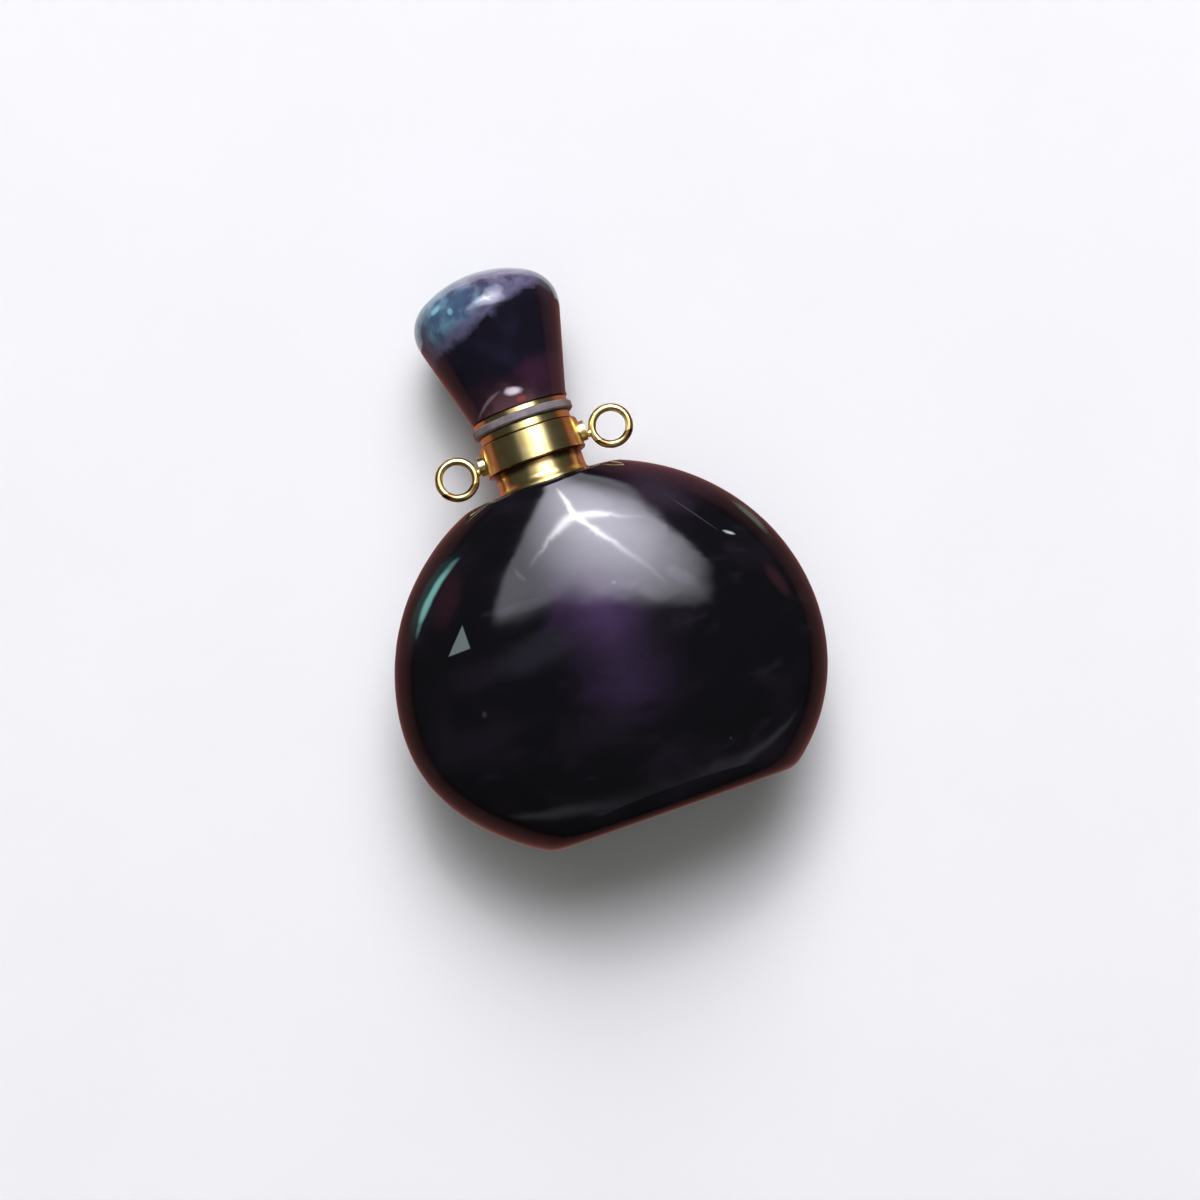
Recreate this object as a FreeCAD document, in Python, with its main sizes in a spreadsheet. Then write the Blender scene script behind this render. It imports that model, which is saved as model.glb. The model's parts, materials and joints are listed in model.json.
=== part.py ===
"""Bottle pendant: a flat-round stone bottle with a turned neck, two side loops and a screw-in stopper.

Each piece is drawn as the bottle stands on its base: Z runs up its axis from the base, X is its width
and -Y its front. The finished pieces are then laid on their back, as the bottle rests by itself on the
stone's back and the stopper's rim. There Z is up, the stopper points along +Y, and the origin is on the
floor under the middle of the whole. Lengths are in millimetres.
"""

import FreeCAD, Part
import math
import os
import re

import Sketcher

Vector = FreeCAD.Vector

SIZES = {
    # The gap left between glued or pressed pieces.
    "fit_gap": 0.03,
    # The bottle stone is an oval at each level, widest at widest_level. The semi heights shape its
    # outline seen from the front, and the side ones shape it seen from the side.
    "body_half_width": 16.5,
    "body_half_thickness": 7.5,
    "body_height": 26.4,
    "widest_level": 11.4,
    "upper_semi_height": 16.2,
    "lower_semi_height": 14.0,
    "upper_side_semi_height": 19.84,
    "lower_side_semi_height": 17.8,
    "base_shift": 1.05,
    "top_shift": 0.2,
    "base_edge_radius": 2.2,
    "top_edge_radius": 0.8,
    "bore_radius": 3.5,
    "bore_depth": 19.5,
    # The neck collar, whose spigot is glued into the bore.
    "neck_radius": 3.45,
    "neck_height": 5.0,
    "throat_radius": 3.05,
    "spigot_length": 3.0,
    "flare_radius": 4.1,
    "flare_lip": 0.16,
    "flare_cove_radius": 0.6,
    "lip_radius": 3.56,
    "lip_height": 0.62,
    "lip_edge": 0.08,
    # The band round the neck, with its soldered loops. Heights are above the bottle stone.
    "band_radius": 3.9,
    "band_start": 1.9,
    "band_height": 2.4,
    "band_edge": 0.1,
    "loop_offset": 6.2,
    "loop_drop": 0.35,
    "loop_radius": 1.41,
    "loop_wire_radius": 0.31,
    "loop_hole_radius": 1.14,
    "foot_radius": 0.78,
    "foot_reach": 4.28,
    "solder_ball_radius": 0.3,
    "solder_ball_offset": 4.5,
    # The washer on top of the neck.
    "washer_radius": 3.95,
    "washer_hole_radius": 3.1,
    "washer_height": 0.66,
    "washer_edge": 0.12,
    # The stopper's cap, with its hidden plug and post.
    "flange_radius": 3.72,
    "flange_height": 0.4,
    "flange_edge": 0.08,
    "plug_radius": 3.0,
    "plug_length": 3.7,
    "post_radius": 1.2,
    "post_length": 4.0,
    # The stopper stone: a straight foot, a flank that widens upwards and a dome. Heights are above
    # its flat underside, and both corners of the flank are rounded.
    "stopper_foot_radius": 3.84,
    "stopper_foot_height": 0.3,
    "stopper_corner_radius": 6.12,
    "stopper_corner_height": 8.5,
    "stopper_height": 11.05,
    "stopper_rim_rounding": 2.8,
    "stopper_waist_rounding": 1.5,
}

# Where the bottle stone's ovals are: parts of the way from the base to the widest level, and from
# there to the top.
LOWER_OVALS = (0.0, 0.2, 0.45, 0.72)
UPPER_OVALS = (0.0, 0.25, 0.5, 0.7, 0.87, 1.0)

# Levels that several pieces share, as formulas of the sizes.
NECK_TOP = "body_height + neck_height"
WASHER_START = NECK_TOP + " + fit_gap"
FLANGE_START = WASHER_START + " + washer_height + fit_gap"
STONE_START = FLANGE_START + " + flange_height + fit_gap"
BAND_START = "body_height + band_start"


def make_sheet(doc):
    """Put the driving sizes into a spreadsheet, a name and a number on each row."""
    sheet = doc.addObject("Spreadsheet::Sheet", "Sizes")
    for row, (name, value) in enumerate(SIZES.items(), start=1):
        sheet.set(f"A{row}", name)
        sheet.set(f"B{row}", str(value))
        sheet.setAlias(f"B{row}", name)
    doc.recompute()


def linked(formula):
    """Turn a formula of size names into an expression that looks them up in the sheet."""
    return re.sub("[a-z_]+", lambda word: "Sizes." + word[0] if word[0] in SIZES else word[0], formula)


def value_of(doc, formula):
    return float(doc.Sizes.evalExpression(linked(formula)))


def bound(doc, kind, name, **formulas):
    """Add an object whose properties follow formulas of the sizes."""
    thing = doc.addObject(kind, name)
    for property_name, formula in formulas.items():
        thing.setExpression(property_name.replace("__", "."), linked(formula))
    return thing


def turned(doc, name, corners, domed=False):
    """Turn a closed profile of (radius, height) corners round the bottle's axis.

    With domed, the last corner is the top of a dome round a centre on the axis.
    """
    body = doc.addObject("PartDesign::Body", name)
    sketch = body.newObject("Sketcher::SketchObject", name + "_profile")
    plane = next(item for item in body.Origin.OriginFeatures if item.Role == "XZ_Plane")
    sketch.AttachmentSupport = (plane, [""])
    sketch.MapMode = "FlatFace"
    places = [Vector(value_of(doc, radius), value_of(doc, height), 0) for radius, height in corners]
    count = len(corners)
    dome = count - 2 if domed else None
    for index, place in enumerate(places):
        following = places[(index + 1) % count]
        edge = dome_arc(place, following) if index == dome else Part.LineSegment(place, following)
        sketch.addGeometry(edge, False)
    for index in range(count):
        following = (index + 1) % count
        sketch.addConstraint(Sketcher.Constraint("Coincident", index, 2, following, 1))
    if domed:
        sketch.addConstraint(Sketcher.Constraint("PointOnObject", dome, 3, -2))
    for index, (radius, height) in enumerate(corners):
        if radius == "0":
            sketch.addConstraint(Sketcher.Constraint("PointOnObject", index, 1, -2))
        else:
            pin_down(doc, sketch, "DistanceX", index, radius)
        pin_down(doc, sketch, "DistanceY", index, height)
    solid = body.newObject("PartDesign::Revolution", name + "_turned")
    solid.Profile = sketch
    solid.ReferenceAxis = (sketch, ["V_Axis"])
    solid.Angle = 360
    doc.recompute()
    return body


def dome_arc(corner, top):
    """The arc from a corner up to the axis, whose centre lies on the axis."""
    rise = top.y - corner.y
    radius = (corner.x ** 2 + rise ** 2) / (2 * rise)
    circle = Part.Circle(Vector(0, top.y - radius, 0), Vector(0, 0, 1), radius)
    return Part.ArcOfCircle(circle, math.atan2(radius - rise, corner.x), math.pi / 2)


def pin_down(doc, sketch, direction, index, formula):
    """Hold the start of an edge at a distance from the sketch's origin that follows the sheet."""
    distance = value_of(doc, formula)
    number = sketch.addConstraint(Sketcher.Constraint(direction, -1, 1, index, 1, distance))
    sketch.setExpression(f"Constraints[{number}]", linked(formula))


def round_corner(doc, body, radius, height, rounding):
    """Round the corner that runs round the axis at a radius and height."""
    base = body.Tip
    fillet = body.newObject("PartDesign::Fillet", f"{body.Name}_{rounding}")
    fillet.Base = (base, [edge_name(doc, base.Shape, radius, height)])
    fillet.setExpression("Radius", linked(rounding))
    doc.recompute()


def edge_name(doc, shape, radius, height):
    """Find the round edge of a shape by its radius and height."""
    wanted_radius = value_of(doc, radius)
    wanted_height = value_of(doc, height)
    for number, edge in enumerate(shape.Edges, start=1):
        if isinstance(edge.Curve, Part.Circle):
            off_radius = abs(edge.Curve.Radius - wanted_radius)
            off_height = abs(edge.Curve.Center.z - wanted_height)
            if max(off_radius, off_height) < 1e-4:
                return f"Edge{number}"
    raise ValueError(f"no round edge at radius {radius}, height {height}")


def make_oval(doc, name, level, semi_height, side_semi_height, shift):
    """One level of the bottle stone: its outline and side view are parts of ovals too."""
    def half_size(widest, semi):
        return f"{widest} * sqrt(1 - (({level} - widest_level) / {semi})^2)"

    return bound(
        doc, "Part::Ellipse", name,
        MajorRadius=half_size("body_half_width", semi_height),
        MinorRadius=half_size("body_half_thickness", side_semi_height),
        Placement__Base__x=shift,
        Placement__Base__z=level,
    )


def make_bottle_stone(doc):
    """The puffy stone with its flat base and top, and the bore down its axis.

    Its base is ground a little to one side and its top to the other, so the lower ovals move over by
    up to base_shift, and the upper ones back by up to top_shift.
    """
    ovals = []
    for number, part in enumerate(LOWER_OVALS):
        ovals.append(make_oval(
            doc, f"lower_oval_{number}", f"(widest_level * {part})",
            "lower_semi_height", "lower_side_semi_height", f"base_shift * (1 - {part})^2",
        ))
    for number, part in enumerate(UPPER_OVALS):
        ovals.append(make_oval(
            doc, f"upper_oval_{number}", f"(widest_level + (body_height - widest_level) * {part})",
            "upper_semi_height", "upper_side_semi_height", f"-top_shift * {part}^2",
        ))
    loft = doc.addObject("Part::Loft", "stone_form")
    loft.Sections = ovals
    loft.Solid = True
    doc.recompute()

    rounded = doc.addObject("Part::Fillet", "stone_rounded")
    rounded.Base = loft
    base_rounding = value_of(doc, "base_edge_radius")
    top_rounding = value_of(doc, "top_edge_radius")
    base_edge = level_edge(loft.Shape, value_of(doc, "0 * body_height"))
    top_edge = level_edge(loft.Shape, value_of(doc, "body_height"))
    rounded.Edges = [(base_edge, base_rounding, base_rounding), (top_edge, top_rounding, top_rounding)]

    bore = bound(
        doc, "Part::Cylinder", "bore",
        Radius="bore_radius",
        Height="bore_depth + 1",
        Placement__Base__z="body_height - bore_depth",
    )
    stone = doc.addObject("Part::Cut", "bottle_stone")
    stone.Base = rounded
    stone.Tool = bore
    doc.recompute()
    return stone


def level_edge(shape, level):
    """The number of the edge that lies flat at a level."""
    for number, edge in enumerate(shape.Edges, start=1):
        box = edge.BoundBox
        if abs(box.ZMin - level) < 1e-3 and abs(box.ZMax - level) < 1e-3:
            return number
    raise ValueError(f"no edge at level {level}")


def make_neck_collar(doc):
    """Spigot, flare, neck and upper lip, turned as one piece with the throat through it."""
    foot = "body_height + fit_gap"
    flare_top = foot + " + flare_lip"
    lip_start = NECK_TOP + " - lip_height"
    body = turned(doc, "neck_collar", [
        ("throat_radius", "body_height - spigot_length"),
        ("neck_radius", "body_height - spigot_length"),
        ("neck_radius", foot),
        ("flare_radius", foot),
        ("flare_radius", flare_top),
        ("neck_radius", flare_top),
        ("neck_radius", lip_start),
        ("lip_radius", lip_start),
        ("lip_radius", NECK_TOP + " - lip_edge"),
        ("lip_radius - lip_edge", NECK_TOP),
        ("throat_radius", NECK_TOP),
    ])
    round_corner(doc, body, "neck_radius", flare_top, "flare_cove_radius")
    return body


def make_loop_band(doc):
    """The band, and at each side a foot, a ball of solder and a loop, soldered into one piece.

    The loops and balls sit a little lower than the feet, by loop_drop.
    """
    band_top = BAND_START + " + band_height"
    inner_radius = "neck_radius + fit_gap"
    band = turned(doc, "plain_band", [
        (inner_radius, BAND_START),
        ("band_radius - band_edge", BAND_START),
        ("band_radius", BAND_START + " + band_edge"),
        ("band_radius", band_top + " - band_edge"),
        ("band_radius - band_edge", band_top),
        (inner_radius, band_top),
    ])
    pieces = [band]
    middle = BAND_START + " + band_height / 2"
    for side, sign in (("left", "-1"), ("right", "1")):
        pieces.append(make_loop(doc, side, sign, middle + " - loop_drop"))
        pieces.append(make_foot(doc, side, sign, middle))
        pieces.append(bound(
            doc, "Part::Sphere", f"{side}_solder_ball",
            Radius="solder_ball_radius",
            Placement__Base__x=f"{sign} * solder_ball_offset",
            Placement__Base__z=middle + " - loop_drop",
        ))
    soldered = doc.addObject("Part::MultiFuse", "loop_band")
    soldered.Shapes = pieces
    doc.recompute()
    return soldered


def make_loop(doc, side, sign, middle):
    """A wire ring that faces the front, its hole reamed to a short straight wall.

    The ring is made of two halves, so that each of its round faces has plain ends.
    """
    facing_front = FreeCAD.Rotation(Vector(1, 0, 0), 90)
    halves = []
    for number, turn in enumerate((0, 180)):
        half = bound(
            doc, "Part::Torus", f"{side}_half_ring_{number}",
            Radius1="loop_radius",
            Radius2="loop_wire_radius",
            Placement__Base__x=f"{sign} * loop_offset",
            Placement__Base__z=middle,
        )
        half.Angle3 = 180
        half.Placement.Rotation = facing_front * FreeCAD.Rotation(Vector(0, 0, 1), turn)
        halves.append(half)
    ring = doc.addObject("Part::MultiFuse", f"{side}_ring")
    ring.Shapes = halves
    hole = bound(
        doc, "Part::Cylinder", f"{side}_hole",
        Radius="loop_hole_radius",
        Height="4 * loop_wire_radius",
        Placement__Base__x=f"{sign} * loop_offset",
        Placement__Base__y="2 * loop_wire_radius",
        Placement__Base__z=middle,
    )
    hole.Placement.Rotation = facing_front
    loop = doc.addObject("Part::Cut", f"{side}_loop")
    loop.Base = ring
    loop.Tool = hole
    return loop


def make_foot(doc, side, sign, middle):
    """The small disc that carries the solder, from inside the band's wall out to foot_reach."""
    start = "(neck_radius + band_radius) / 2"
    foot = bound(
        doc, "Part::Cylinder", f"{side}_foot",
        Radius="foot_radius",
        Height=f"foot_reach - {start}",
        Placement__Base__x=f"{sign} * {start}",
        Placement__Base__z=middle,
    )
    foot.Placement.Rotation = FreeCAD.Rotation(Vector(0, 1, 0), 90 * int(sign))
    return foot


def make_washer(doc):
    top = WASHER_START + " + washer_height"
    return turned(doc, "washer", [
        ("washer_hole_radius", WASHER_START),
        ("washer_radius - washer_edge", WASHER_START),
        ("washer_radius", WASHER_START + " + washer_edge"),
        ("washer_radius", top + " - washer_edge"),
        ("washer_radius - washer_edge", top),
        ("washer_hole_radius", top),
    ])


def make_stopper_cap(doc):
    """A thin flange with the plug that screws into the neck, and the post glued into the stopper."""
    flange_top = FLANGE_START + " + flange_height"
    return turned(doc, "stopper_cap", [
        ("0", FLANGE_START + " - plug_length"),
        ("plug_radius", FLANGE_START + " - plug_length"),
        ("plug_radius", FLANGE_START),
        ("flange_radius", FLANGE_START),
        ("flange_radius", flange_top + " - flange_edge"),
        ("flange_radius - flange_edge", flange_top),
        ("post_radius", flange_top),
        ("post_radius", flange_top + " + post_length"),
        ("0", flange_top + " + post_length"),
    ])


def make_stopper_stone(doc):
    """An upturned cone with a rounded rim and a domed top, drilled for the post."""
    hole_top = STONE_START + " + post_length + fit_gap"
    waist = STONE_START + " + stopper_foot_height"
    corner = STONE_START + " + stopper_corner_height"
    body = turned(doc, "stopper_stone", [
        ("0", hole_top),
        ("post_radius + fit_gap", hole_top),
        ("post_radius + fit_gap", STONE_START),
        ("stopper_foot_radius", STONE_START),
        ("stopper_foot_radius", waist),
        ("stopper_corner_radius", corner),
        ("0", STONE_START + " + stopper_height"),
    ], domed=True)
    round_corner(doc, body, "stopper_corner_radius", corner, "stopper_rim_rounding")
    round_corner(doc, body, "stopper_foot_radius", waist, "stopper_waist_rounding")
    return body


def laid_back(tilt):
    """The turn that lays the standing bottle on its back, its stopper dipping by a tilt in degrees."""
    return FreeCAD.Rotation(Vector(1, 0, 0), -90 - tilt)


def laid_box(shape, tilt):
    """The box of a standing shape once it is laid on its back."""
    laid = shape.copy()
    laid.Placement = FreeCAD.Placement(Vector(), laid_back(tilt)) * shape.Placement
    return laid.optimalBoundingBox()


def rest_tilt(bottle_stone, stopper_stone):
    """The tilt in degrees at which the stone's back and the stopper's rim touch one floor."""
    least, most = 0.0, 15.0
    while most - least > 1e-4:
        middle = (least + most) / 2
        if laid_box(stopper_stone, middle).ZMin < laid_box(bottle_stone, middle).ZMin:
            most = middle
        else:
            least = middle
    return least


def lay_down(pieces):
    """Lay every piece on its back, with the origin on the floor under the middle of the whole."""
    tilt = rest_tilt(pieces["bottle_stone"].Shape, pieces["stopper_stone"].Shape)
    box = laid_box(Part.Compound([piece.Shape for piece in pieces.values()]), tilt)
    to_origin = Vector(-box.Center.x, -box.Center.y, -box.ZMin)
    for piece in pieces.values():
        piece.Placement = FreeCAD.Placement(to_origin, laid_back(tilt))
    print(f"rest tilt {tilt:.3f} degrees, bottle origin at {tuple(round(c, 4) for c in to_origin)}")


def check(doc, pieces):
    """Stop if anything in the document failed, or a piece isn't a sound solid."""
    for thing in doc.Objects:
        if {"Invalid", "Error"} & set(thing.State):
            raise RuntimeError(f"{thing.Name} failed: {thing.State}")
    for name, piece in pieces.items():
        shape = piece.Shape
        if shape.isNull() or not shape.isValid() or len(shape.Solids) != 1:
            raise RuntimeError(f"{name} isn't one sound solid")


def main():
    doc = FreeCAD.newDocument("bottle_pendant")
    make_sheet(doc)
    makers = (
        make_bottle_stone, make_neck_collar, make_loop_band,
        make_washer, make_stopper_cap, make_stopper_stone,
    )
    pieces = {}
    for make in makers:
        piece = make(doc)
        piece.Label = piece.Name
        pieces[piece.Name] = piece
    lay_down(pieces)
    doc.recompute()
    check(doc, pieces)
    os.makedirs("parts", exist_ok=True)
    for name, piece in pieces.items():
        piece.Shape.exportStep(f"parts/{name}.step")
        print(f"{name}: {piece.Shape.Volume:.2f} mm3, {piece.Shape.BoundBox}")


main()
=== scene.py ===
"""Looks of a bottle pendant: dark fluorite bottle and stopper, gold neck with two loops.

Metres, in the frame of the CAD model: the pendant lies on its back, +Z out of its front, the stopper
towards +Y. The photograph looks almost straight down on it, with its axis leaning to the left.
The materials are drawn in the standing bottle's own millimetres: X across, Y to its back and Z up its
axis from the base.
"""

import json
import math
from typing import NamedTuple

import bpy
from mathutils import Matrix, Vector


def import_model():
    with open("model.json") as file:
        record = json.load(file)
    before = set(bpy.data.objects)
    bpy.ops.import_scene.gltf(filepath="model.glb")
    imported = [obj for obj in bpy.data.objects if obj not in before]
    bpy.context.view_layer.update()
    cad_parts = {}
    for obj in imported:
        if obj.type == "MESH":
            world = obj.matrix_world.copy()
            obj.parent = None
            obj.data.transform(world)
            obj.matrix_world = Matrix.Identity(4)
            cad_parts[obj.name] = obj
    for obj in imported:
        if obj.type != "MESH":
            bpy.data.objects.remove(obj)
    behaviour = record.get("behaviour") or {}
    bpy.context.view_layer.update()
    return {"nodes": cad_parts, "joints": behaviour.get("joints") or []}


MM = 0.001

# The camera, over the pendant as the photograph shows it. The lean of the axis is in degrees.
AXIS_LEAN = 19.5
PHOTO_WIDTH = 1200
PIXELS_PER_MM = 13.2
CAMERA_DISTANCE = 0.24
SENSOR_WIDTH = 36
NEAREST_SEEN = 0.01
AIM = Vector((1.0 * MM, -4.8 * MM, 8.0 * MM))

# The neck's top above the bottle's base, in millimetres.
NECK_TOP_HEIGHT = 31.4

# The pale floor, with the two tones of its mottle.
FLOOR_HALF = 3.0
FLOOR_DARK = (0.575, 0.58, 0.545)
FLOOR_PALE = (0.60, 0.605, 0.57)

# The soft box that the polished faces mirror: where it stands, seen from the pendant, and its outline
# and bright ribs in parts of its distance.
SOFT_BOX_DIRECTION = Vector((0.119, 0.643, 0.757)).normalized()
SOFT_BOX_DISTANCE = 1.4
SOFT_BOX_OUTLINE = (
    (-0.02, 0.32), (-0.18, 0.16), (-0.33, 0.06), (-0.45, -0.017), (-0.60, -0.12), (-0.69, -0.21),
    (-0.71, -0.26), (-0.65, -0.305), (-0.51, -0.33), (-0.385, -0.35), (-0.275, -0.36),
    (-0.165, -0.37), (-0.06, -0.405), (0.04, -0.42), (0.21, -0.455), (0.405, -0.46), (0.56, -0.445),
    (0.60, -0.345), (0.67, -0.20), (0.57, -0.048), (0.49, 0.09), (0.52, 0.25), (0.57, 0.46),
    (0.60, 0.64), (0.52, 0.80), (0.37, 0.88), (0.16, 0.86), (0.06, 0.58),
)
# The scaled copies of the outline between which its light fades out.
OUTLINE_BRIGHT = 0.82
OUTLINE_DARK = 1.07
GLOW_MIDDLE = (0.12, 0.0)
RIB_ENDS = ((0.0, 0.22), (-0.36, -0.155), (0.40, 0.058), (0.30, -0.345))
# Half widths of a rib at its start, middle and end.
RIB_HALF_WIDTHS = (0.034, 0.024, 0.007)
RIB_LIFT = 0.01

# The dim warm card just over the floor, in millimetres, which the polish alone mirrors. It is open
# round the stopper's end.
CARD_HALF = 2800
CARD_GAP = ((-15, 17.5), (11, 18.0), (11, 34), (-15, 34))
CARD_LIFT = 0.2

# The faint strip that runs over the pendant's foot from side to side: its directions, in degrees round
# from +X and up from the floor, with how much of its light shows there.
STRIP_PATH = (
    (-140, -1, 0.0), (-136, 16, 0.8), (-132, 34, 0.9), (-123, 50, 0.6), (-108, 61, 0.45),
    (-87, 65, 0.45), (-66, 61, 0.5), (-52, 55, 0.65), (-41, 30, 0.95), (-35, 14, 0.9), (-31, 5, 0.0),
)
STRIP_HALF_WIDTH = 0.055
STRIP_DISTANCE = 1.3

# The lamp for the dull faces, in metres and watts, and the dim surroundings.
FILL_PLACE = Vector((-0.2, -0.3, 1.5))
FILL_SIZE = 1.6
FILL_POWER = 5.0
SURROUNDINGS = (0.05, 0.05, 0.055)


class Glow(NamedTuple):
    """A staged light's colour, and its strength in its middle and past its reach in metres."""

    colour: tuple
    near: float
    far: float
    reach: float


GLOWS = {
    "soft_box_light": Glow((0.96, 0.945, 1.09), 17.0, 3.0, 0.56 * SOFT_BOX_DISTANCE),
    "rib_light": Glow((1.0, 1.0, 1.0), 34.0, 4.0, 0.36 * SOFT_BOX_DISTANCE),
    "warm_card_light": Glow((0.37, 0.145, 0.13), 1.0, 0.12, 0.15),
    "low_strip_light": Glow((0.95, 0.97, 1.05), 0.55, 0.55, 1.0),
}

# A mix node names its sockets alike for each kind of data, so those for colours go by their numbers.
MIX_FACTOR = 0
MIX_FIRST = 6
MIX_SECOND = 7
MIX_RESULT = 2


class Graph:
    """Adds nodes to a material and links them, so that a pattern reads as a formula."""

    def __init__(self, name, shader="ShaderNodeBsdfPrincipled"):
        self.material = bpy.data.materials.new(name)
        self.material.use_nodes = True
        self.tree = self.material.node_tree
        self.tree.nodes.clear()
        self.shader = self.add(shader)
        self.output = self.add("ShaderNodeOutputMaterial")
        self.put(self.output.inputs["Surface"], self.shader.outputs[0])

    def add(self, kind, **settings):
        node = self.tree.nodes.new(kind)
        for setting, value in settings.items():
            setattr(node, setting, value)
        return node

    def put(self, socket, value):
        """Link a socket to another node's output, or give it a plain value or colour."""
        if isinstance(value, bpy.types.NodeSocket):
            self.tree.links.new(value, socket)
        elif socket.type == "RGBA":
            socket.default_value = (*value, 1)
        else:
            socket.default_value = value

    def finish(self, sockets):
        """Give the shader's sockets, by name, their values or links."""
        for name, value in sockets.items():
            self.put(self.shader.inputs[name], value)

    def math(self, operation, *values):
        node = self.add("ShaderNodeMath", operation=operation)
        for socket, value in zip(node.inputs, values):
            self.put(socket, value)
        return node.outputs[0]

    def times(self, *values):
        product = values[0]
        for value in values[1:]:
            product = self.math("MULTIPLY", product, value)
        return product

    def swayed(self, value, noise, by):
        """A value moved up and down by a noise, by half the given amount at most."""
        return self.math("MULTIPLY_ADD", self.math("SUBTRACT", noise, 0.5), by, value)

    def ramp(self, value, start, end, first=0, last=1):
        """First before the start and last past the end, smooth in between. The end may be lower."""
        if start > end:
            start, end, first, last = end, start, last, first
        node = self.add("ShaderNodeMapRange", interpolation_type="SMOOTHSTEP")
        self.put(node.inputs["Value"], value)
        self.put(node.inputs["From Min"], start)
        self.put(node.inputs["From Max"], end)
        self.put(node.inputs["To Min"], first)
        self.put(node.inputs["To Max"], last)
        return node.outputs["Result"]

    def mix(self, factor, first, second):
        """The first colour where the factor is 0, and the second where it is 1."""
        node = self.add("ShaderNodeMix", data_type="RGBA")
        self.put(node.inputs[MIX_FACTOR], factor)
        self.put(node.inputs[MIX_FIRST], first)
        self.put(node.inputs[MIX_SECOND], second)
        return node.outputs[MIX_RESULT]

    def noise(self, place, scale, detail, distortion=0.0, stretch=None):
        """A cloudy pattern between 0 and 1. A stretch above 1 makes it finer that way."""
        if stretch is not None:
            squeezed = self.add("ShaderNodeMapping")
            self.put(squeezed.inputs["Vector"], place)
            self.put(squeezed.inputs["Scale"], stretch)
            place = squeezed.outputs["Vector"]
        node = self.add("ShaderNodeTexNoise")
        self.put(node.inputs["Vector"], place)
        self.put(node.inputs["Scale"], scale)
        self.put(node.inputs["Detail"], detail)
        self.put(node.inputs["Distortion"], distortion)
        return node.outputs["Fac"]

    def bump(self, height, distance):
        """Raise the surface by a pattern, up to a distance in millimetres."""
        node = self.add("ShaderNodeBump")
        self.put(node.inputs["Strength"], 1.0)
        self.put(node.inputs["Distance"], distance * MM)
        self.put(node.inputs["Height"], height)
        self.put(self.shader.inputs["Normal"], node.outputs["Normal"])


class Place(NamedTuple):
    """The shaded point in the standing bottle's millimetres, and its three parts."""

    point: bpy.types.NodeSocket
    across: bpy.types.NodeSocket
    depth: bpy.types.NodeSocket
    height: bpy.types.NodeSocket


def standing_place(graph, frame):
    """The shaded point's place, turned upright about the axis that the stopper turns on."""
    joint = next(joint for joint in frame["joints"] if joint["name"] == "stopper_turn")
    axis = Vector(joint["axis"])
    stand_up = math.pi / 2 + math.atan2(-axis.z, axis.y)
    base = Vector(joint["pos_m"]) - axis * NECK_TOP_HEIGHT * MM
    coordinates = graph.add("ShaderNodeTexCoord")
    mapping = graph.add("ShaderNodeMapping")
    graph.put(mapping.inputs["Vector"], coordinates.outputs["Object"])
    graph.put(mapping.inputs["Scale"], (1 / MM, 1 / MM, 1 / MM))
    graph.put(mapping.inputs["Rotation"], (stand_up, 0, 0))
    graph.put(mapping.inputs["Location"], -(Matrix.Rotation(stand_up, 3, "X") @ base) / MM)
    point = mapping.outputs["Vector"]
    parts = graph.add("ShaderNodeSeparateXYZ")
    graph.put(parts.inputs["Vector"], point)
    return Place(point, parts.outputs["X"], parts.outputs["Y"], parts.outputs["Z"])


def make_camera():
    """A camera above the pendant, turned so that its axis leans to the left in the picture."""
    seen_width = PHOTO_WIDTH / PIXELS_PER_MM * MM
    camera_data = bpy.data.cameras.new("camera")
    camera_data.sensor_width = SENSOR_WIDTH
    camera_data.lens = SENSOR_WIDTH * CAMERA_DISTANCE / seen_width
    camera_data.clip_start = NEAREST_SEEN
    camera = bpy.data.objects.new("camera", camera_data)
    bpy.context.collection.objects.link(camera)
    camera.location = AIM + Vector((0, 0, CAMERA_DISTANCE))
    camera.rotation_euler = (0, 0, math.radians(-AXIS_LEAN))
    bpy.context.scene.camera = camera


def mesh_object(name, points, faces):
    mesh = bpy.data.meshes.new(name)
    mesh.from_pydata(points, [], faces)
    thing = bpy.data.objects.new(name, mesh)
    bpy.context.collection.objects.link(thing)
    return thing


def square(half):
    """The corners of a level square round the middle."""
    return ((-half, -half), (half, -half), (half, half), (-half, half))


def ribbon_faces(rows, start=0):
    """The faces of a ribbon with three points in a row, whose first point is the start."""
    faces = []
    for row in range(rows - 1):
        for first in (start + 3 * row, start + 3 * row + 1):
            faces.append((first, first + 1, first + 4, first + 3))
    return faces


def make_floor():
    """A wide pale floor with a very faint mottle."""
    corners = [(x, y, 0) for x, y in square(FLOOR_HALF)]
    floor = mesh_object("floor", corners, [(0, 1, 2, 3)])
    graph = Graph("pale_floor")
    coordinates = graph.add("ShaderNodeTexCoord")
    mottle = graph.noise(coordinates.outputs["Object"], scale=60.0, detail=3.0)
    graph.finish({
        "Base Color": graph.mix(mottle, FLOOR_DARK, FLOOR_PALE),
        "Roughness": 0.9,
        "Specular IOR Level": 0.1,
    })
    floor.data.materials.append(graph.material)


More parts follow.
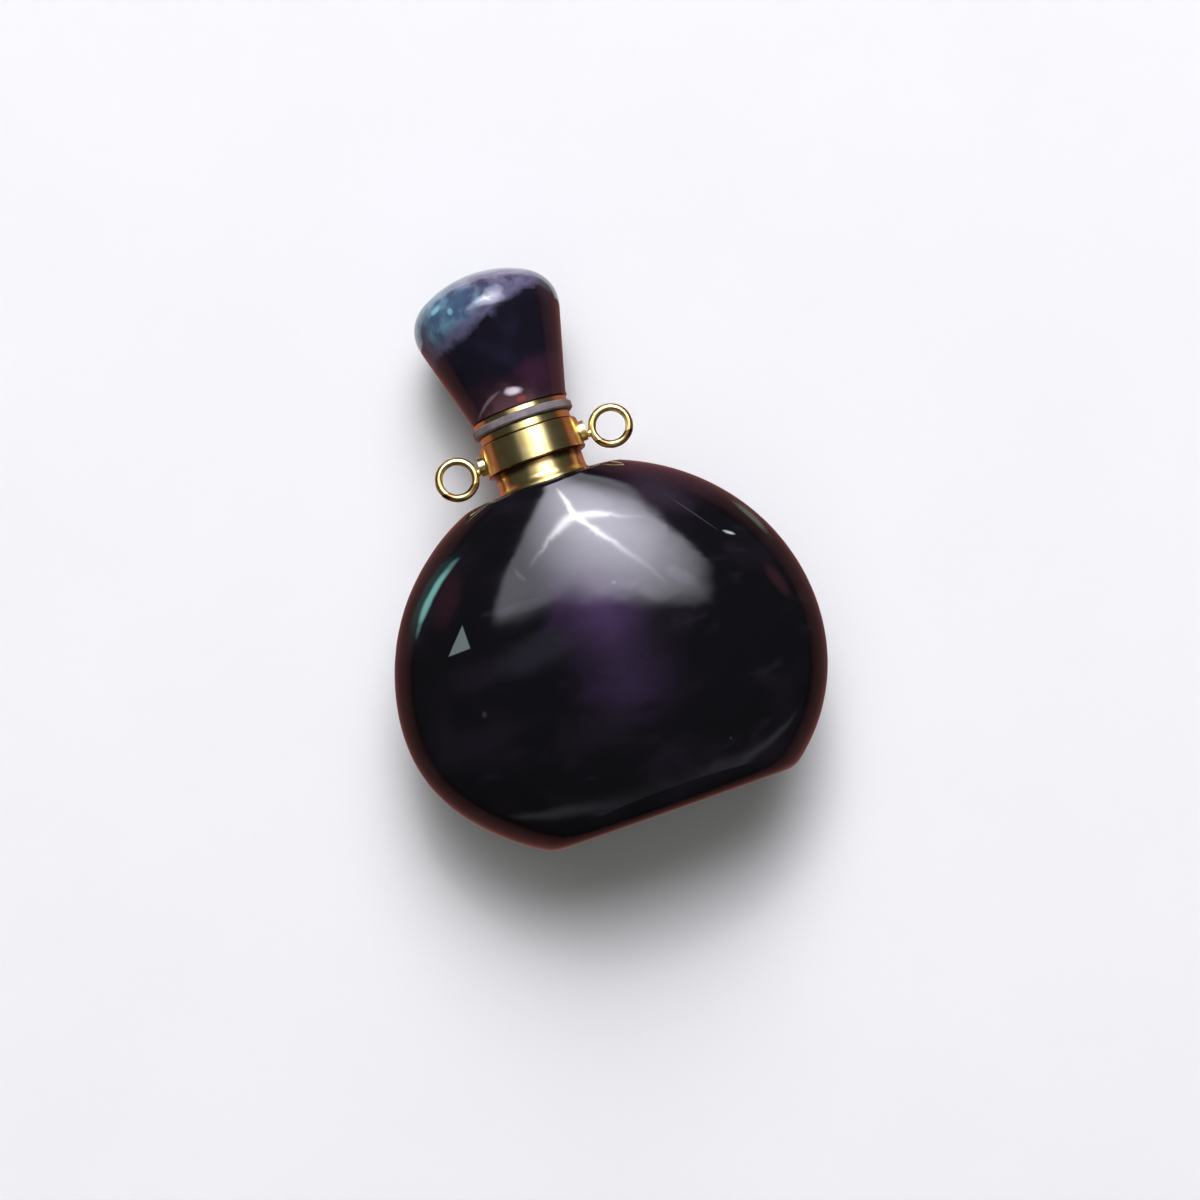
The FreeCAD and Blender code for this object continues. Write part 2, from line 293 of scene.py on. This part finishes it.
def glow_material(name, middle=(0, 0, 0), clear=True):
    """Light that falls with the distance from a middle, and with the mesh's fade.

    What is behind a clear sheet shows through it.
    """
    glow = GLOWS[name]
    graph = Graph(name, "ShaderNodeEmission")
    coordinates = graph.add("ShaderNodeTexCoord")
    away = graph.add("ShaderNodeVectorMath", operation="DISTANCE")
    graph.put(away.inputs[0], coordinates.outputs["Object"])
    graph.put(away.inputs[1], middle)
    fall = graph.ramp(away.outputs["Value"], 0, glow.reach, glow.near, glow.far)
    fade = graph.add("ShaderNodeAttribute", attribute_name="fade")
    strength = graph.times(fall, graph.ramp(fade.outputs["Fac"], 0, 1))
    graph.finish({"Color": glow.colour, "Strength": strength})
    if clear:
        both = graph.add("ShaderNodeAddShader")
        behind = graph.add("ShaderNodeBsdfTransparent")
        graph.put(both.inputs[0], graph.shader.outputs[0])
        graph.put(both.inputs[1], behind.outputs[0])
        graph.put(graph.output.inputs["Surface"], both.outputs[0])
    return graph.material


def light_sheet(name, points, faces, fades, material, place):
    """A staged sheet of light, with how much of the light shows at each of its points."""
    sheet = mesh_object(name, points, faces)
    fade = sheet.data.attributes.new("fade", "FLOAT", "POINT")
    fade.data.foreach_set("value", fades)
    sheet.data.materials.append(material)
    sheet.matrix_world = place
    sheet.visible_camera = False
    return sheet


def soft_box_place():
    """Where the soft box stands: it faces the pendant, with its width level."""
    facing = SOFT_BOX_DIRECTION
    across = (Vector((1, 0, 0)) - facing * facing.x).normalized()
    up = facing.cross(across)
    place = Matrix((across, up, facing)).transposed().to_4x4()
    place.translation = facing * SOFT_BOX_DISTANCE
    return place


def make_soft_box(place):
    """The soft box. Its edge fades out."""
    size = SOFT_BOX_DISTANCE
    count = len(SOFT_BOX_OUTLINE)
    points = [(0, 0, 0)]
    fades = [1]
    for scale, fade in ((OUTLINE_BRIGHT, 1), (OUTLINE_DARK, 0)):
        points += [(x * scale * size, y * scale * size, 0) for x, y in SOFT_BOX_OUTLINE]
        fades += [fade] * count
    faces = []
    for index in range(count):
        following = (index + 1) % count
        faces.append((0, 1 + index, 1 + following))
        faces.append((1 + index, 1 + count + index, 1 + count + following, 1 + following))
    middle = (GLOW_MIDDLE[0] * size, GLOW_MIDDLE[1] * size, 0)
    light_sheet("soft_box", points, faces, fades, glow_material("soft_box_light", middle), place)


def make_ribs(place):
    """The soft box's four bright ribs, which run out from its middle and taper."""
    points = []
    fades = []
    faces = []
    for x, y in RIB_ENDS:
        end = Vector((x, y, 0)) * SOFT_BOX_DISTANCE
        side = Vector((-y, x, 0)).normalized() * SOFT_BOX_DISTANCE
        faces += ribbon_faces(len(RIB_HALF_WIDTHS), len(points))
        for row, half_width in enumerate(RIB_HALF_WIDTHS):
            spine = end * row / (len(RIB_HALF_WIDTHS) - 1)
            points += [spine - side * half_width, spine, spine + side * half_width]
            fades += [0, 1, 0]
    lifted = Matrix.Translation(-SOFT_BOX_DIRECTION * RIB_LIFT) @ place
    light_sheet("soft_box_ribs", points, faces, fades, glow_material("rib_light"), lifted)


def make_warm_card():
    """A dim warm card over the floor. Only polished faces see it, so the floor stays pale."""
    points = [(x * MM, y * MM, CARD_LIFT * MM) for x, y in square(CARD_HALF) + CARD_GAP]
    faces = [(side, (side + 1) % 4, 4 + (side + 1) % 4, 4 + side) for side in range(4)]
    light = glow_material("warm_card_light", clear=False)
    card = light_sheet("warm_card", points, faces, [1] * len(points), light, Matrix())
    card.visible_diffuse = False
    card.visible_transmission = False
    card.visible_shadow = False


def make_low_strip():
    """A faint bent strip of light past the pendant's foot, which draws a line inside its edge."""
    middles = []
    for azimuth, elevation, _ in STRIP_PATH:
        level = math.radians(elevation)
        turn = math.radians(azimuth)
        middles.append(Vector((
            math.cos(level) * math.cos(turn), math.cos(level) * math.sin(turn), math.sin(level)
        )))
    points = []
    fades = []
    for index, middle in enumerate(middles):
        before = middles[max(index - 1, 0)]
        after = middles[min(index + 1, len(middles) - 1)]
        side = middle.cross(after - before).normalized() * STRIP_HALF_WIDTH
        points += [(middle + side * row) * STRIP_DISTANCE for row in (-1, 0, 1)]
        fades += [0, STRIP_PATH[index][2], 0]
    light = glow_material("low_strip_light")
    light_sheet("low_strip", points, ribbon_faces(len(middles)), fades, light, Matrix())


def make_fill():
    """A wide square lamp that faces the pendant. Polished faces don't mirror it."""
    lamp_data = bpy.data.lights.new("fill", "AREA")
    lamp_data.size = FILL_SIZE
    lamp_data.energy = FILL_POWER
    lamp = bpy.data.objects.new("fill", lamp_data)
    bpy.context.collection.objects.link(lamp)
    lamp.location = FILL_PLACE
    lamp.rotation_euler = (-FILL_PLACE).to_track_quat("-Z", "Y").to_euler()
    lamp.visible_glossy = False
    lamp.visible_camera = False


def make_lights():
    place = soft_box_place()
    make_soft_box(place)
    make_ribs(place)
    make_warm_card()
    make_low_strip()
    make_fill()
    world = bpy.data.worlds.new("world")
    world.use_nodes = True
    world.node_tree.nodes["Background"].inputs["Color"].default_value = (*SURROUNDINGS, 1)
    bpy.context.scene.world = world
    bpy.context.scene.view_settings.view_transform = "Standard"


class Mark(NamedTuple):
    """A soft-edged streak in a stone, seen from the front, in millimetres.

    Its middle is across and up the stone, its turn is from level in degrees, and its bend is how fast it
    bows. The share is how much of its colour shows.
    """

    across: float
    height: float
    half_length: float
    half_width: float
    turn: float
    bend: float
    colour: tuple
    share: float


BOTTLE_MARKS = {
    "cloud_left": Mark(-4.9, 14.3, 3.6, 1.5, 8, 0.0, (0.014, 0.013, 0.018), 0.55),
    "cloud_shoulder": Mark(7.9, 22.6, 2.6, 1.2, -45, 0.0, (0.024, 0.018, 0.026), 0.45),
    "red_patch_left": Mark(-9.6, 20.6, 2.6, 1.1, 55, 0.0, (0.013, 0.005, 0.007), 0.9),
    "red_patch_right": Mark(14.0, 13.6, 1.7, 0.5, -72, 0.0, (0.020, 0.008, 0.009), 0.7),
    # Painted light: the teal and green fluorite at the rims, lit as if light came through the thin
    # edges.
    "teal_rim_glow_halo": Mark(-11.1, 21.2, 3.9, 0.66, 43, -0.045, (0.010, 0.036, 0.032), 0.7),
    "teal_rim_glow": Mark(-10.9, 21.05, 3.5, 0.30, 43, -0.045, (0.110, 0.250, 0.210), 1.0),
    "green_rim_glow": Mark(13.8, 19.0, 2.2, 0.28, -62, -0.03, (0.05, 0.075, 0.055), 0.8),
    # Painted glints: a bright dash, and the light line that a fissure reflects.
    "painted_glint_dash": Mark(11.8, 18.1, 0.5, 0.14, -35, 0.0, (0.26, 0.29, 0.27), 1.0),
    "crack_glint": Mark(9.4, 20.8, 2.9, 0.06, -54, 0.0, (0.034, 0.030, 0.038), 0.7),
    # Painted reflection: veils, a wisp and a spot where the mirrored soft box's lower edge runs ragged.
    "reflection_veil_left": Mark(-4.4, 17.8, 3.0, 0.50, -5, 0.02, (0.030, 0.030, 0.034), 0.6),
    "reflection_wisp_left": Mark(-4.0, 20.1, 0.75, 0.20, -62, 0.25, (0.050, 0.050, 0.056), 0.5),
    "reflection_veil_right": Mark(7.2, 16.2, 1.5, 0.60, -50, 0.0, (0.040, 0.038, 0.044), 0.6),
    "reflection_spot": Mark(2.4, 17.3, 0.22, 0.16, 0, 0.0, (0.11, 0.11, 0.12), 0.6),
    "speck_left": Mark(-9.9, 11.3, 0.28, 0.20, 70, 0.0, (0.016, 0.016, 0.017), 1.0),
    "speck_low": Mark(6.7, 3.6, 0.13, 0.13, 0, 0.0, (0.02, 0.02, 0.02), 1.0),
}
STOPPER_MARKS = {
    "teal_spot": Mark(-3.4, 41.3, 0.55, 0.26, 20, 0.0, (0.17, 0.37, 0.42), 0.8),
    "teal_spot_low": Mark(-2.4, 40.7, 0.22, 0.30, 0, 0.0, (0.15, 0.32, 0.36), 0.7),
    "green_side": Mark(5.1, 40.7, 0.9, 0.45, -60, 0.0, (0.030, 0.055, 0.052), 0.8),
    "foot_purple": Mark(2.4, 34.6, 2.2, 1.2, 14, 0.0, (0.032, 0.010, 0.022), 0.7),
    "foot_dome": Mark(-0.2, 32.6, 2.3, 1.65, 0, 0.0, (0.075, 0.036, 0.038), 0.8),
    # Painted highlights: a light arc, a pale gleam and a red glint at the stopper's foot.
    "foot_light_arc": Mark(-2.0, 33.5, 1.3, 0.16, 28, -0.12, (0.17, 0.14, 0.14), 0.6),
    "foot_highlight": Mark(0.15, 33.6, 0.80, 0.36, -8, 0.0, (0.55, 0.48, 0.50), 1.0),
    "foot_red_glint": Mark(0.5, 32.9, 0.45, 0.28, 0, 0.0, (0.20, 0.040, 0.040), 0.8),
}
# How far a noise moves a mark's edge, and where the edge starts and ends, in parts of the mark's size.
MARK_SWAY = 0.9
MARK_EDGE = (1.2, 0.35)


def add_marks(graph, colour, at, front, wobble, marks):
    """Lay soft-edged streaks over a colour, on the front of a stone alone; some are painted glints and
    reflections.
    """
    for mark in marks.values():
        angle = math.radians(mark.turn)
        off_x = graph.math("SUBTRACT", at.across, mark.across)
        off_z = graph.math("SUBTRACT", at.height, mark.height)
        along = graph.math(
            "ADD", graph.times(off_x, math.cos(angle)), graph.times(off_z, math.sin(angle))
        )
        aside = graph.math(
            "SUBTRACT", graph.times(off_z, math.cos(angle)), graph.times(off_x, math.sin(angle))
        )
        bowed = graph.math("MULTIPLY_ADD", graph.times(along, along), -mark.bend, aside)
        along_part = graph.math("DIVIDE", along, mark.half_length)
        aside_part = graph.math("DIVIDE", bowed, mark.half_width)
        reach = graph.math(
            "SQRT",
            graph.math("ADD", graph.times(along_part, along_part), graph.times(aside_part, aside_part)),
        )
        shape = graph.ramp(graph.swayed(reach, wobble, by=MARK_SWAY), *MARK_EDGE)
        colour = graph.mix(graph.times(shape, mark.share, front), colour, mark.colour)
    return colour


# Both stones: how strongly they mirror, and the height of their polish's faint waves in millimetres.
FLUORITE_IOR = 1.434
POLISH_WAVES = 0.03

# The bottle stone's colours.
BOTTLE_DARK = (0.0026, 0.0024, 0.0030)
BOTTLE_CLOUD = (0.0060, 0.0046, 0.0070)
BOTTLE_VEIL = (0.010, 0.009, 0.013)
# The painted glow of the light inside the bore.
BOTTLE_BORE_GLOW = (0.036, 0.020, 0.050)
BOTTLE_SHOULDER = (0.020, 0.010, 0.017)
# The painted glint on the chip.
BOTTLE_CHIP_GLINT = (0.085, 0.105, 0.098)

# Where in their noise, from 0 to 1, the clouds and veils start and are full, and how much shows of the
# veils and of the shoulder's tone. The roughness rises with the veils between its own limits.
CLOUD_LIMITS = (0.45, 0.75)
VEIL_LIMITS = (0.58, 0.80)
VEIL_SHARE = 0.6
SHOULDER_SHARE = 0.7
POLISH_LIMITS = (0.45, 0.75)
BOTTLE_ROUGHNESS = (0.07, 0.10)

# Where the bottle stone's tones start and are full, in millimetres: to the front, beside the bore's
# middle, and up the purple column of painted glow, which has a dim lower and a bright upper part.
BOTTLE_FRONT = (0.8, -0.8)
COLUMN_MIDDLE = 1.0
COLUMN_SIDE = (5.0, -0.4)
COLUMN_LOWER = (5.8, 10.0)
COLUMN_LOWER_SHARE = 0.38
COLUMN_UPPER = (11.5, 16.5)
COLUMN_UPPER_SHARE = 0.62
COLUMN_TOP = (22.0, 16.5)
SHOULDER_HEIGHT = (19.5, 25.5)
SHOULDER_ACROSS = (3.0, 7.5)

# The chip's three sides, where its glint is painted, and how steep the slanting one is.
CHIP_RIGHT = (-9.22, -9.32)
CHIP_BOTTOM = (16.25, 16.35)
CHIP_SLOPE = 1.05
CHIP_SLANT = (27.95, 27.8)


def bottle_fluorite(frame):
    """Near-black purple fluorite with faint clouds; painted light: a purple glow down the bore, lit teal
    and green edges, glints.
    """
    graph = Graph("bottle_fluorite")
    at = standing_place(graph, frame)
    front = graph.ramp(at.depth, *BOTTLE_FRONT)
    clouds = graph.noise(at.point, scale=0.16, detail=4.0, distortion=0.3, stretch=(1.0, 1.0, 1.7))
    veils = graph.noise(at.point, scale=0.5, detail=5.0, distortion=0.4, stretch=(0.7, 1.0, 1.5))
    colour = graph.mix(graph.ramp(clouds, *CLOUD_LIMITS), BOTTLE_DARK, BOTTLE_CLOUD)
    colour = graph.mix(graph.ramp(veils, *VEIL_LIMITS, last=VEIL_SHARE), colour, BOTTLE_VEIL)
    colour = graph.mix(painted_bore_glow(graph, at, clouds, veils), colour, BOTTLE_BORE_GLOW)
    # The right shoulder is a little redder and lighter.
    to_the_right = graph.ramp(at.across, *SHOULDER_ACROSS)
    shoulder = graph.times(graph.ramp(at.height, *SHOULDER_HEIGHT), to_the_right, SHOULDER_SHARE)
    colour = graph.mix(shoulder, colour, BOTTLE_SHOULDER)
    colour = add_marks(graph, colour, at, front, veils, BOTTLE_MARKS)
    colour = add_chip_glint(graph, colour, at, front)
    graph.finish({
        "Base Color": colour,
        "IOR": FLUORITE_IOR,
        "Roughness": graph.ramp(veils, *POLISH_LIMITS, *BOTTLE_ROUGHNESS),
    })
    graph.bump(graph.noise(at.point, scale=0.22, detail=1.0), POLISH_WAVES)
    return graph.material


def painted_bore_glow(graph, at, clouds, veils):
    """How much painted purple glow shows, for the light inside the bore. It is brightest near the bore's
    top.
    """
    off_bore = graph.math("ABSOLUTE", graph.math("SUBTRACT", at.across, COLUMN_MIDDLE))
    ragged = graph.swayed(graph.swayed(off_bore, veils, by=3.5), clouds, by=4.0)
    beside = graph.ramp(ragged, *COLUMN_SIDE)
    height = graph.swayed(at.height, veils, by=5.0)
    lower = graph.ramp(height, *COLUMN_LOWER, last=COLUMN_LOWER_SHARE)
    upper = graph.ramp(height, *COLUMN_UPPER, last=COLUMN_UPPER_SHARE)
    under_neck = graph.ramp(at.height, *COLUMN_TOP)
    return graph.times(beside, graph.math("ADD", lower, upper), under_neck)


def add_chip_glint(graph, colour, at, front):
    """A small three-sided cleavage face at the left of the front, with a painted glint."""
    left_of_edge = graph.ramp(at.across, *CHIP_RIGHT)
    over_edge = graph.ramp(at.height, *CHIP_BOTTOM)
    slope = graph.math("SUBTRACT", at.height, graph.times(at.across, CHIP_SLOPE))
    under_slant = graph.ramp(slope, *CHIP_SLANT)
    return graph.mix(graph.times(left_of_edge, over_edge, under_slant, front), colour, BOTTLE_CHIP_GLINT)


# The stopper stone's colours. The cloudy ones have a dim and a bright tone.
STOPPER_DARK = (0.0060, 0.0050, 0.0095)
STOPPER_NAVY = (0.009, 0.008, 0.016)
STOPPER_FOOT = (0.030, 0.010, 0.016)
LAVENDER_DIM = (0.034, 0.032, 0.060)
LAVENDER_BRIGHT = (0.125, 0.120, 0.172)
TEAL_DIM = (0.036, 0.064, 0.105)
TEAL_BRIGHT = (0.085, 0.165, 0.210)
STOPPER_HAZE = (0.075, 0.070, 0.115)
STOPPER_LEFT = (0.050, 0.042, 0.070)

# Where in their noise the navy and the bright tones start and are full, and how much shows of the
# foot's and the left side's tones.
NAVY_LIMITS = (0.45, 0.65)
BRIGHT_LIMITS = (0.36, 0.66)
FOOT_SHARE = 0.6
LEFT_SHARE = 0.8

# Where the stopper's tones start and are full, in millimetres. The edge between cloud and dark stone
# has a height in the middle and a slope, and its haze and cloud are measured from it.
STOPPER_FRONT = (0.6, -0.6)
EDGE_SLOPE = 0.34
EDGE_HEIGHT = 39.35
EDGE_CLOUD = (-0.3, 0.5)
EDGE_HAZE = (1.5, 0.2)
FOOT_HEIGHT = (35.6, 33.4)
TEAL_ACROSS = (1.0, -2.2)
LEFT_ACROSS = (-3.6, -5.2)
LEFT_HEIGHT = (40.8, 39.0)


def stopper_fluorite(frame):
    """Cloudy teal and lavender over a slanting edge, dark navy below, wine red at the foot with painted
    highlights.
    """
    graph = Graph("stopper_fluorite")
    at = standing_place(graph, frame)
    front = graph.ramp(at.depth, *STOPPER_FRONT)
    clouds = graph.noise(at.point, scale=0.35, detail=3.0)
    blotches = graph.noise(at.point, scale=0.85, detail=4.0, distortion=0.2)
    # The slanting edge between cloud and dark stone is higher at the right.
    straight_edge = graph.math("MULTIPLY_ADD", at.across, EDGE_SLOPE, EDGE_HEIGHT)
    over_edge = graph.math("SUBTRACT", at.height, graph.swayed(straight_edge, blotches, by=1.6))
    dark = graph.mix(graph.ramp(clouds, *NAVY_LIMITS), STOPPER_DARK, STOPPER_NAVY)
    foot = graph.ramp(graph.swayed(at.height, blotches, by=1.5), *FOOT_HEIGHT, last=FOOT_SHARE)
    dark = graph.mix(foot, dark, STOPPER_FOOT)
    brightness = graph.ramp(blotches, *BRIGHT_LIMITS)
    lavender = graph.mix(brightness, LAVENDER_DIM, LAVENDER_BRIGHT)
    teal = graph.mix(brightness, TEAL_DIM, TEAL_BRIGHT)
    to_teal = graph.ramp(graph.swayed(at.across, clouds, by=-7.0), *TEAL_ACROSS)
    cloud = graph.mix(to_teal, lavender, teal)
    # Just over the edge the cloud thins out to a dull purple.
    cloud = graph.mix(graph.ramp(over_edge, *EDGE_HAZE), cloud, STOPPER_HAZE)
    at_left = graph.ramp(graph.swayed(at.across, blotches, by=1.5), *LEFT_ACROSS)
    low_left = graph.times(at_left, graph.ramp(at.height, *LEFT_HEIGHT), LEFT_SHARE)
    cloud = graph.mix(low_left, cloud, STOPPER_LEFT)
    colour = graph.mix(graph.ramp(over_edge, *EDGE_CLOUD), dark, cloud)
    colour = add_marks(graph, colour, at, front, blotches, STOPPER_MARKS)
    graph.finish({"Base Color": colour, "IOR": FLUORITE_IOR, "Roughness": 0.08})
    graph.bump(graph.noise(at.point, scale=0.35, detail=1.0), POLISH_WAVES)
    return graph.material


# The gold's two tones and the painted shade in the groove under the band and in the one over it.
# Each groove's painted shade starts and ends between two heights in millimetres, the upper one on the
# neck alone.
GOLD_DEEP = (0.80, 0.64, 0.24)
GOLD_PALE = (0.92, 0.78, 0.36)
GOLD_LIMITS = (0.35, 0.7)
GROOVE_SHADE = (0.085, 0.032, 0.012)
GROOVE_SHADE_SHARE = 0.92
UNDER_BAND_START = (27.6, 28.05)
UNDER_BAND_END = (28.44, 28.36)
OVER_BAND_START = (30.62, 30.68)
OVER_BAND_END = (30.84, 30.78)
NECK_SIDE = (4.4, 4.0)
# The gold's roughness, what its lathe marks add to it, and their height in millimetres.
GOLD_ROUGHNESS = 0.27
LATHE_ROUGHNESS = 0.03
LATHE_HEIGHT = 0.0002


def gold_plate(frame):
    """Turned gold: fine lathe marks round the axis, and brown shade painted into the grooves."""
    graph = Graph("gold_plate")
    at = standing_place(graph, frame)
    tone = graph.noise(at.point, scale=0.9, detail=3.0)
    gold = graph.mix(graph.ramp(tone, *GOLD_LIMITS), GOLD_DEEP, GOLD_PALE)
    # Painted shade in the groove under the band and in the one over it.
    under_band = graph.times(
        graph.ramp(graph.swayed(at.height, tone, by=0.25), *UNDER_BAND_START),
        graph.ramp(at.height, *UNDER_BAND_END),
    )
    over_band = graph.times(
        graph.ramp(at.height, *OVER_BAND_START),
        graph.ramp(at.height, *OVER_BAND_END),
        graph.ramp(graph.math("ABSOLUTE", at.across), *NECK_SIDE),
    )
    groove_shade = graph.times(graph.math("MAXIMUM", under_band, over_band), GROOVE_SHADE_SHARE)
    lathe_marks = graph.noise(at.point, scale=2.0, detail=3.0, stretch=(0.3, 0.3, 2.0))
    tangent = graph.add("ShaderNodeTangent", direction_type="RADIAL", axis="Y")
    graph.finish({
        "Base Color": graph.mix(groove_shade, gold, GROOVE_SHADE),
        "Metallic": 1.0,
        "Roughness": graph.math("MULTIPLY_ADD", lathe_marks, LATHE_ROUGHNESS, GOLD_ROUGHNESS),
        "Anisotropic": 0.8,
        "Anisotropic Rotation": 0.25,
        "Tangent": tangent.outputs["Tangent"],
    })
    graph.bump(lathe_marks, LATHE_HEIGHT)
    return graph.material


# The silicone's two tones, where in their noise the milky one starts and is full, and the height of
# its grain in millimetres.
SILICONE_DARK = (0.105, 0.088, 0.086)
SILICONE_MILKY = (0.160, 0.138, 0.136)
MILKY_LIMITS = (0.35, 0.7)
SILICONE_GRAIN = 0.01


def silicone(frame):
    """Grey, slightly cloudy silicone."""
    graph = Graph("silicone")
    at = standing_place(graph, frame)
    cloud = graph.noise(at.point, scale=1.2, detail=3.0)
    graph.finish({
        "Base Color": graph.mix(graph.ramp(cloud, *MILKY_LIMITS), SILICONE_DARK, SILICONE_MILKY),
        "Roughness": 0.42,
        "IOR": 1.41,
    })
    graph.bump(graph.noise(at.point, scale=4.0, detail=3.0), SILICONE_GRAIN)
    return graph.material


def dress(frame):
    """Give every piece its material, and smooth shading over its curved faces."""
    gold = gold_plate(frame)
    looks = {
        "bottle_stone": bottle_fluorite(frame),
        "stopper_stone": stopper_fluorite(frame),
        "neck_collar": gold,
        "loop_band": gold,
        "stopper_cap": gold,
        "washer": silicone(frame),
    }
    for name, material in looks.items():
        node = frame["nodes"][name]
        for slot in node.material_slots:
            slot.material = material
        for polygon in node.data.polygons:
            polygon.use_smooth = True


def main():
    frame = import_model()
    make_camera()
    make_floor()
    make_lights()
    dress(frame)


main()
